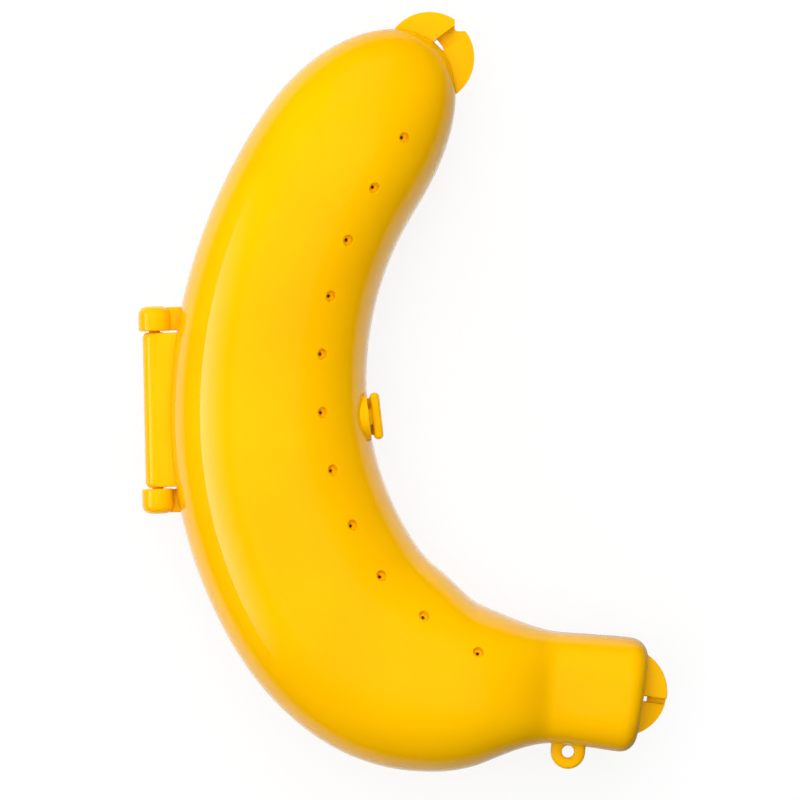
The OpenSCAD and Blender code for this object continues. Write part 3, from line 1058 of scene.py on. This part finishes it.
@dataclass(frozen=True)
class SnapClasp(SubAssembly):
    """Plate that rocks on a web of the front shell and snaps over a ridge of the rear shell."""

    form: BananaForm
    shift: float = 4.5
    length: float = 13.6
    plate_t: float = 2.8
    gap: float = 1.0
    top: float = 6.0
    drop: float = 8.0
    end_steps: int = 16
    plate_round: float = 1.2
    plate_segments: int = 5
    tooth_up: float = 0.6
    tooth_round: float = 0.25
    ledge_clear: float = 0.4
    ledge_low: float = -1.5
    ledge_top: float = 2.4
    catch_reach: float = 0.8
    catch_bite: float = 0.5
    catch_clear: float = 0.25
    catch_h: float = 2.4
    catch_depth: float = 5.0
    catch_round: float = 0.15
    web_d: float = 2.0
    web_len: float = 4.6
    web_z: float = 4.4
    web_t: float = 1.6
    web_clear: float = 0.08
    web_chamfer: float = 0.15
    web_short: float = 0.5
    pad_t: float = 0.3
    pad_top: float = 11.0
    pad_round: float = 0.2
    pad_steps: int = 32
    foot: float = 0.4
    bite: float = 5.0

    @property
    def web_x(self) -> float:
        """Distance of the web's round end from the body's edge."""
        return self.gap + self.web_d / 4

    def inner_edge(self, s: float) -> Vector:
        """Point on the body's inner edge."""
        return self.form.place(s, -self.form.half_width(s), 0)

    def at_edge(self, obj: bpy.types.Object) -> bpy.types.Object:
        """Stands a solid at the body's inner edge.

        Args:
            obj: Solid at the origin, with +X away from the body.

        Returns:
            The same object.
        """
        s, half = self.form.tip_run + self.shift, self.length / 2
        along = self.inner_edge(s + half) - self.inner_edge(s - half)
        turn = math.degrees(math.atan2(along.y, along.x)) + 90
        return Bench.place(obj, self.inner_edge(s), (0, 0, turn))

    def rod(self, name: str, diameter: float, length: float) -> bpy.types.Object:
        """Models a rod along the body's edge through the web's round end.

        Args:
            name: Name of the solid.
            diameter: Diameter of the rod.
            length: Length of the rod.

        Returns:
            The closed solid.
        """
        radius, half, chamfer = diameter / 2, length / 2, self.web_chamfer
        rod = Bench.turning(name, [
            (0, -half), (radius - chamfer, -half), (radius, -half + chamfer),
            (radius, half - chamfer), (radius - chamfer, half), (0, half),
        ])
        return Bench.place(rod, (self.web_x, 0, self.web_z), (90, 0, 0))

    def plate(self) -> bpy.types.Object:
        """Models the plate with half-round ends, its tooth, a ledge and the groove for the web.

        Returns:
            The solid, at the body's inner edge.
        """
        radius, side = self.plate_t / 2, (self.length - self.plate_t) / 2
        run, inside = self.length / 2 - radius, self.gap + radius
        ends = (((0, run), 0, 180), ((0, -run), 180, 360))
        outline = [
            (inside + x, y)
            for middle, start, end in ends
            for x, y in arc(middle, radius, start, end, self.end_steps)
        ]
        plate = Bench.prism("plate", outline, -self.drop, self.top)
        Bench.rounded(plate, self.plate_round, self.plate_segments)
        tooth = Bench.box(
            "tooth", (self.catch_reach - self.catch_bite, -side, self.tooth_up - self.drop),
            (inside, side, -self.catch_depth - self.catch_clear))
        ledge = Bench.box(
            "ledge", (self.ledge_clear, -side, self.ledge_low), (inside, side, self.ledge_top))
        Bench.rounded(tooth, self.tooth_round)
        Bench.combine(plate, Join.FUSE, tooth, ledge)
        groove = self.rod("groove", self.web_d + 2 * self.web_clear, 2 * self.length)
        return self.at_edge(Bench.combine(plate, Join.CUT, groove))

    def web(self) -> bpy.types.Object:
        """Models the pad on the front shell and the web with its round end.

        Returns:
            The solid, trimmed to the front shell's wall.
        """
        half = self.length / 2
        crown = arc((0, self.pad_top - half), half, 0, 180, self.pad_steps)
        outline = [(half, self.foot), *crown, (-half, self.foot)]
        pad = Bench.prism("pad", outline, -self.bite, self.pad_t)
        Bench.rounded(pad, self.pad_round)
        Bench.place(pad, (0, 0, 0), (90, 0, 90))
        side, rise = self.web_len / 2, self.web_t / 2
        neck = Bench.box("web_neck", (self.web_short - self.bite, -side, self.web_z - rise),
                         (self.web_x, side, self.web_z + rise))
        Bench.combine(pad, Join.FUSE, neck, self.rod("web_end", self.web_d, self.web_len))
        return Bench.combine(self.at_edge(pad), Join.CUT, self.form.core(Half.FRONT))

    def catch(self) -> bpy.types.Object:
        """Models the ridge on the rear shell, with a ramp on top and a level face below.

        Returns:
            The solid, trimmed to the rear shell's wall.
        """
        length = self.length - self.plate_t
        ridge = Bench.prism("catch", [
            (-self.bite, 0), (self.catch_reach, 0), (self.catch_reach, self.catch_h / 2),
            (0, self.catch_h), (-self.bite, self.catch_h),
        ], 0, length)
        Bench.rounded(ridge, self.catch_round)
        Bench.place(ridge, (0, length / 2, -self.catch_depth), (90, 0, 0))
        return Bench.combine(self.at_edge(ridge), Join.CUT, self.form.core(Half.REAR))

    def build(self) -> list[Piece]:
        """Models the plate, the web and the catch."""
        return [
            Piece(self.plate(), "clasp_plate", "clasp"),
            Piece(self.web(), "clasp_web", Half.FRONT.body),
            Piece(self.catch(), "clasp_catch", Half.REAR.body),
        ]


class TabEnd(Enum):
    """The two ends of the body that have a pull tab."""

    TIP = "tip"
    STEM = "stem"


@dataclass(frozen=True)
class Notch:
    """Square nick in the rim of a tab, at a place from the middle of its petals."""

    x: float = 10.5
    y: float = 1.9
    turn: float = -36.0
    corner: float = 0.9
    corner_steps: int = 6
    size: float = 13.0

    def cutter(self) -> bpy.types.Object:
        """Models the block that cuts the nick, with a rounded inner corner.

        Returns:
            The closed solid, at its place.
        """
        far = self.size
        corner = arc((self.corner, self.corner), self.corner, 180, 270, self.corner_steps)
        block = Bench.prism("notch", [(far, 0), (far, far), (0, far), *corner], -far, far)
        return Bench.place(block, (self.x, self.y, 0), (0, 0, self.turn))


@dataclass(frozen=True)
class PullTab(SubAssembly):
    """Two petals at one end of the body, one on each half, which fingers pull apart."""

    form: BananaForm
    end: TabEnd
    radius: float
    reach: float
    side: float
    seam: float
    strip: float
    slot: float
    notch: Notch | None = None
    petal_t: float = 2.4
    strip_drop: float = 0.8
    strip_tongue: float = 1.2
    parting_gap: float = 0.1
    front_round: float = 0.45
    front_steps: int = 72
    # With twice this rounding, the cut that trims the petal to the wall failed
    rear_round: float = 0.1125
    rear_segments: int = 2
    rear_steps: int = 96

    @property
    def back(self) -> float:
        """Distance of the petals' middle inside the body's end."""
        return self.radius - self.reach

    def at_end(self, obj: bpy.types.Object, half: Half) -> bpy.types.Object:
        """Stands a petal at its end of the body and trims it to the wall.

        Args:
            obj: Petal round the origin, with +X away from the body.
            half: Half shell that carries the petal.

        Returns:
            The same object.
        """
        s, flip = (0.0, 180.0) if self.end is TabEnd.TIP else (self.form.length, 0.0)
        turn = self.form.heading(s) + flip
        shift = Vector((-self.back, self.side, 0))
        shift.rotate(Euler((0, 0, math.radians(turn))))
        Bench.place(obj, self.form.place(s, 0, 0) + shift, (0, 0, turn))
        return Bench.combine(obj, Join.CUT, self.form.core(half))

    def front(self) -> bpy.types.Object:
        """Models the front petal, a round plate cut off along the seam.

        Returns:
            The solid, trimmed to the front shell's wall.
        """
        first = math.degrees(math.asin(self.seam / self.radius))
        outline = arc((0, 0), self.radius, first, 180 - first, self.front_steps)
        low = self.parting_gap
        petal = Bench.prism("front_petal", outline, low, low + self.petal_t)
        if self.notch:
            Bench.combine(petal, Join.CUT, self.notch.cutter())
        return self.at_end(Bench.rounded(petal, self.front_round), Half.FRONT)

    def rear(self) -> bpy.types.Object:
        """Models the rear petal with its lowered strip, the slot at its root and the rim's notch.

        Returns:
            The solid, trimmed to the rear shell's wall.
        """
        edge = self.seam + self.strip_tongue
        first = math.degrees(math.asin(edge / self.radius))
        outline = arc((0, 0), self.radius, first, -180 - first, self.rear_steps)
        petal = Bench.prism("rear_petal", outline, -self.petal_t, 0)
        line, far = self.seam - self.strip, 2 * self.radius
        cuts = [
            Bench.box("strip", (-far, line, -self.strip_drop), (far, far, self.petal_t)),
            Bench.box("slot", (self.back - self.slot, line, -far),
                      (self.back + self.slot, self.seam, far)),
        ]
        if self.notch:
            cuts.append(self.notch.cutter())
        Bench.combine(petal, Join.CUT, *cuts)
        Bench.rounded(petal, self.rear_round, self.rear_segments)
        return self.at_end(petal, Half.REAR)

    def build(self) -> list[Piece]:
        """Models both petals."""
        return [
            Piece(self.front(), f"front_{self.end.value}_petal", Half.FRONT.body),
            Piece(self.rear(), f"rear_{self.end.value}_petal", Half.REAR.body),
        ]


@dataclass(frozen=True)
class LanyardEye(SubAssembly):
    """Eye for a lanyard on the front shell, beside the stem."""

    form: BananaForm
    from_end: float = 20.0
    out: float = 2.1
    diameter: float = 10.0
    end_steps: int = 40
    hole_d: float = 3.5
    hole_facets: int = 60
    thickness: float = 2.6
    foot: float = 0.4
    bite: float = 5.0
    edge_round: float = 1.1
    edge_segments: int = 4

    def build(self) -> list[Piece]:
        """Models the plate with its round end, drills it and rounds all edges.

        Returns:
            The eye, trimmed to the front shell's wall.
        """
        radius, root = self.diameter / 2, -self.bite - self.out
        outline = [*arc((0, 0), radius, -90, 90, self.end_steps), (root, radius), (root, -radius)]
        plate = Bench.prism("eye", outline, 0, self.thickness)
        last = 360 - 360 / self.hole_facets
        circle = arc((0, 0), self.hole_d / 2, 0, last, self.hole_facets - 1)
        Bench.combine(plate, Join.CUT, Bench.prism("eye_hole", circle, -radius, radius))
        Bench.rounded(plate, self.edge_round, self.edge_segments)
        s = self.form.length - self.from_end
        at = self.form.place(s, self.form.half_width(s) + self.out, self.foot)
        Bench.place(plate, at, (0, 0, self.form.heading(s) - 90))
        Bench.combine(plate, Join.CUT, self.form.core(Half.FRONT))
        return [Piece(plate, "lanyard_eye", Half.FRONT.body)]


def set_on_stage(obj: bpy.types.Object, material: bpy.types.Material,
                 unseen_by: Iterable[str] = ()) -> None:
    """Gives a piece of the studio its material and hides it from some kinds of ray.

    Args:
        obj: Piece of the studio, which is no part of the object.
        material: Its material.
        unseen_by: Kinds of ray that pass through it.
    """
    obj.data.materials.append(material)
    for ray in unseen_by:
        setattr(obj, f"visible_{ray}", False)


@dataclass(frozen=True)
class Diffuser:
    """Large cloth panel that lights the case and stays out of its reflections."""

    name: str
    at: tuple[float, float, float]
    size: float
    strength: float

    def hang(self) -> None:
        """Hangs the panel so that it faces the case."""
        panel = Bench.start(self.name, bpy.ops.mesh.primitive_plane_add, size=self.size)
        turn = Vector(self.at).to_track_quat("Z", "Y").to_euler()
        Bench.place(panel, self.at, [math.degrees(angle) for angle in turn])
        material = blank_material(f"{self.name}_cloth")
        material.cycles.emission_sampling = "NONE"
        tree = material.node_tree
        glow = add_node(tree, "ShaderNodeEmission", {"Strength": self.strength})
        add_node(tree, "ShaderNodeOutputMaterial", None, {"Surface": (glow, "Emission")})
        set_on_stage(panel, material, ("camera", "glossy", "shadow"))


@dataclass(frozen=True)
class Studio:
    """White table, softbox at the left, diffusers, black cloth and a camera straight above.

    The black cloth is for the case's sides and reflections alone, and the camera doesn't see it.
    """

    view_width: float = 0.232
    camera_height: float = 1.0
    camera_at: tuple[float, float] = (-0.0001, -0.0020)
    camera_turn: float = -1.23
    parting_z: float = 0.024
    sensor_mm: float = 36.0
    floor_size: float = 8.0
    floor_colour: str = "#F4F4F4"
    floor_glow: float = 0.85
    ambient: float = 0.21
    softbox_x: float = -0.9
    softbox_low: float = 0.36
    softbox_high: float = 1.5
    softbox_y: float = -0.1
    softbox_half: float = 0.68
    softbox_core: float = 0.15
    softbox_strength: float = 3.9
    softbox_fade: float = 3.0
    black: str = "#050505"
    tent_half: float = 2.0
    cloth_z: float = 0.0005
    pool_at: tuple[float, float] = (-0.045, 0.0)
    pool: tuple[float, float] = (0.11, 0.155)
    pool_inside: float = 0.55
    pool_outside: float = 1.8
    diffusers: tuple[Diffuser, ...] = (
        Diffuser("overhead_diffuser", at=(-0.1, 0.0, 1.6), size=1.6, strength=2.7),
        Diffuser("far_diffuser", at=(0.0, 1.6, 1.3), size=1.6, strength=3.0),
        Diffuser("left_diffuser", at=(-1.3, 0.0, 1.0), size=2.2, strength=1.7),
    )

    def white_ray(self, tree: bpy.types.NodeTree) -> Output:
        """Adds the test for rays that show the background: direct, reflected and see-through.

        Args:
            tree: Node tree of a material or the world.

        Returns:
            The last node and its output's name.
        """
        path = add_node(tree, "ShaderNodeLightPath")
        gloss = add_node(tree, "ShaderNodeMath", {"operation": "MAXIMUM"}, {
            0: (path, "Is Camera Ray"), 1: (path, "Is Glossy Ray"),
        })
        clear = add_node(tree, "ShaderNodeMath", {"operation": "MAXIMUM"}, {
            0: (gloss, "Value"), 1: (path, "Is Transmission Ray"),
        })
        return clear, "Value"

    def floor(self) -> None:
        """Lays the table: matt white that keeps a soft shadow, and white to the eye."""
        floor = Bench.start("table_top", bpy.ops.mesh.primitive_plane_add, size=self.floor_size)
        material = blank_material("matt_white_laminate")
        tree = material.node_tree
        share = add_node(tree, "ShaderNodeMath", {"operation": "MULTIPLY", 1: self.floor_glow},
                         {0: self.white_ray(tree)})
        matt = add_node(tree, "ShaderNodeBsdfDiffuse", {"Color": linear(self.floor_colour)})
        glow = add_node(tree, "ShaderNodeEmission", {"Strength": 1.0})
        mix = add_node(tree, "ShaderNodeMixShader", None, {
            "Fac": (share, "Value"), 1: (matt, "BSDF"), 2: (glow, "Emission"),
        })
        add_node(tree, "ShaderNodeOutputMaterial", None, {"Surface": (mix, "Shader")})
        set_on_stage(floor, material)

    def softbox(self) -> None:
        """Stands a softbox at the left, brightest along its lower edge and dark at both ends."""
        # A plane of side 2 is scaled by half the size that it should have
        panel = Bench.start("softbox", bpy.ops.mesh.primitive_plane_add, size=2)
        low, high = self.softbox_low, self.softbox_high
        panel.scale = ((high - low) / 2, self.softbox_half, 1)
        Bench.place(panel, (self.softbox_x, self.softbox_y, (low + high) / 2), (0, 90, 0))
        material = blank_material("softbox_cloth")
        tree = material.node_tree
        place = add_node(tree, "ShaderNodeTexCoord")
        at = add_node(tree, "ShaderNodeSeparateXYZ", None, {"Vector": (place, "Object")})
        fade = add_node(tree, "ShaderNodeMapRange", {
            "From Min": low, "From Max": high, "To Min": 1.0, "To Max": 0.0,
        }, {"Value": (at, "Z")})
        curve = add_node(tree, "ShaderNodeMath", {"operation": "POWER", 1: self.softbox_fade},
                         {0: (fade, "Result")})
        along = add_node(tree, "ShaderNodeMath", {"operation": "SUBTRACT", 1: self.softbox_y},
                         {0: (at, "Y")})
        away = add_node(tree, "ShaderNodeMath", {"operation": "ABSOLUTE"}, {0: (along, "Value")})
        ends = add_node(tree, "ShaderNodeMapRange", {
            "interpolation_type": "SMOOTHSTEP",
            "From Min": self.softbox_core, "From Max": self.softbox_half,
            "To Min": self.softbox_strength, "To Max": 0.0,
        }, {"Value": (away, "Value")})
        strength = add_node(tree, "ShaderNodeMath", {"operation": "MULTIPLY"}, {
            0: (curve, "Value"), 1: (ends, "Result"),
        })
        glow = add_node(tree, "ShaderNodeEmission", None, {"Strength": (strength, "Value")})
        add_node(tree, "ShaderNodeOutputMaterial", None, {"Surface": (glow, "Emission")})
        set_on_stage(panel, material, ("camera",))

    def tent(self) -> None:
        """Hangs black cloth round the set, which only reflections see, so the crown stays clear."""
        half = self.tent_half
        tent = Bench.start("black_tent", bpy.ops.mesh.primitive_cube_add,
                           size=2 * half, location=(0, 0, half))
        Bench.pick(tent, Pick.FACE, lambda face: face.normal.z < DOWNWARDS)
        bpy.ops.mesh.delete(type="FACE")
        bpy.ops.object.mode_set(mode="OBJECT")
        bpy.ops.object.transform_apply(location=True, rotation=True, scale=True)
        material = blank_material("black_molton")
        tree = material.node_tree
        molton = add_node(tree, "ShaderNodeBsdfDiffuse", {"Color": linear(self.black)})
        add_node(tree, "ShaderNodeOutputMaterial", None, {"Surface": (molton, "BSDF")})
        set_on_stage(
            tent, material, ("camera", "diffuse", "transmission", "volume_scatter", "shadow"))

    def cloth(self) -> None:
        """Lays black cloth round the case, soft at its edge, which darkens its sides alone."""
        cloth = Bench.start("black_cloth", bpy.ops.mesh.primitive_plane_add,
                            size=self.floor_size, location=(0, 0, self.cloth_z))
        bpy.ops.object.transform_apply(location=True, rotation=True, scale=True)
        material = blank_material("black_velvet")
        tree = material.node_tree
        place = add_node(tree, "ShaderNodeTexCoord")
        reach = (1 / self.pool[0], 1 / self.pool[1], 0)
        start = (-self.pool_at[0] * reach[0], -self.pool_at[1] * reach[1], 0)
        share = add_node(tree, "ShaderNodeMapping", {"Scale": reach, "Location": start},
                         {"Vector": (place, "Object")})
        away = add_node(tree, "ShaderNodeVectorMath", {"operation": "LENGTH"},
                        {"Vector": (share, "Vector")})
        edge = add_node(tree, "ShaderNodeMapRange", {
            "interpolation_type": "SMOOTHSTEP",
            "From Min": self.pool_inside, "From Max": self.pool_outside,
        }, {"Value": (away, "Value")})
        side = add_node(tree, "ShaderNodeNewGeometry")
        above = add_node(tree, "ShaderNodeMath", {"operation": "SUBTRACT", "use_clamp": True}, {
            0: (edge, "Result"), 1: (side, "Backfacing"),
        })
        clear = add_node(tree, "ShaderNodeBsdfTransparent")
        velvet = add_node(tree, "ShaderNodeBsdfDiffuse", {"Color": linear(self.black)})
        mix = add_node(tree, "ShaderNodeMixShader", None, {
            "Fac": (above, "Value"), 1: (clear, "BSDF"), 2: (velvet, "BSDF"),
        })
        add_node(tree, "ShaderNodeOutputMaterial", None, {"Surface": (mix, "Shader")})
        set_on_stage(cloth, material, ("camera", "transmission", "volume_scatter", "shadow"))

    def world(self) -> None:
        """Gives a low even light, and white wherever the background shows."""
        world = bpy.context.scene.world or bpy.data.worlds.new("studio")
        bpy.context.scene.world = world
        world.use_nodes = True
        world.cycles.sampling_method = "NONE"
        tree = world.node_tree
        tree.nodes.clear()
        seen = self.white_ray(tree)
        dim, white = (
            add_node(tree, "ShaderNodeBackground", {"Color": (1, 1, 1, 1), "Strength": strength})
            for strength in (self.ambient, 1.0))
        mix = add_node(tree, "ShaderNodeMixShader", None, {
            "Fac": seen, 1: (dim, "Background"), 2: (white, "Background"),
        })
        add_node(tree, "ShaderNodeOutputWorld", None, {"Surface": (mix, "Shader")})

    def camera(self) -> None:
        """Hangs the camera over the case, level, with the view's width at the parting plane."""
        at = (*self.camera_at, self.parting_z + self.camera_height)
        bpy.ops.object.camera_add(location=at, rotation=(0, 0, math.radians(self.camera_turn)))
        camera = bpy.context.object
        camera.name = "photo_camera"
        camera.data.sensor_width = self.sensor_mm
        camera.data.lens = self.sensor_mm * self.camera_height / self.view_width
        bpy.context.scene.camera = camera

    def build(self) -> None:
        """Sets up the whole studio."""
        self.floor()
        self.softbox()
        self.tent()
        self.cloth()
        for diffuser in self.diffusers:
            diffuser.hang()
        self.world()
        self.camera()
        bpy.context.scene.view_settings.view_transform = "Standard"


def main() -> None:
    """Builds the studio and every sub-assembly."""
    logging.basicConfig(level=logging.INFO, format="%(name)s: %(message)s")
    Studio().build()
    form = BananaForm()
    finish = MouldedPolypropylene(
        "polypropylene_polished_moulding", colour="#FFC000", deep_colour="#FDB800")
    plastic = finish.material()
    assemblies: Iterable[SubAssembly] = (
        HalfShell(Half.FRONT, form, VentRow(form)),
        HalfShell(Half.REAR, form),
        SnapHinge(form),
        SnapClasp(form),
        PullTab(form, TabEnd.TIP, radius=13.0, reach=8.7, side=1.0, seam=3.0, strip=3.5, slot=0.7,
                notch=Notch()),
        PullTab(form, TabEnd.STEM, radius=13.0, reach=7.2, side=0.7, seam=-0.3, strip=1.7,
                slot=1.8),
        LanyardEye(form),
    )
    for assembly in assemblies:
        assembly.dress(plastic)


if __name__ == "__main__":
    main()
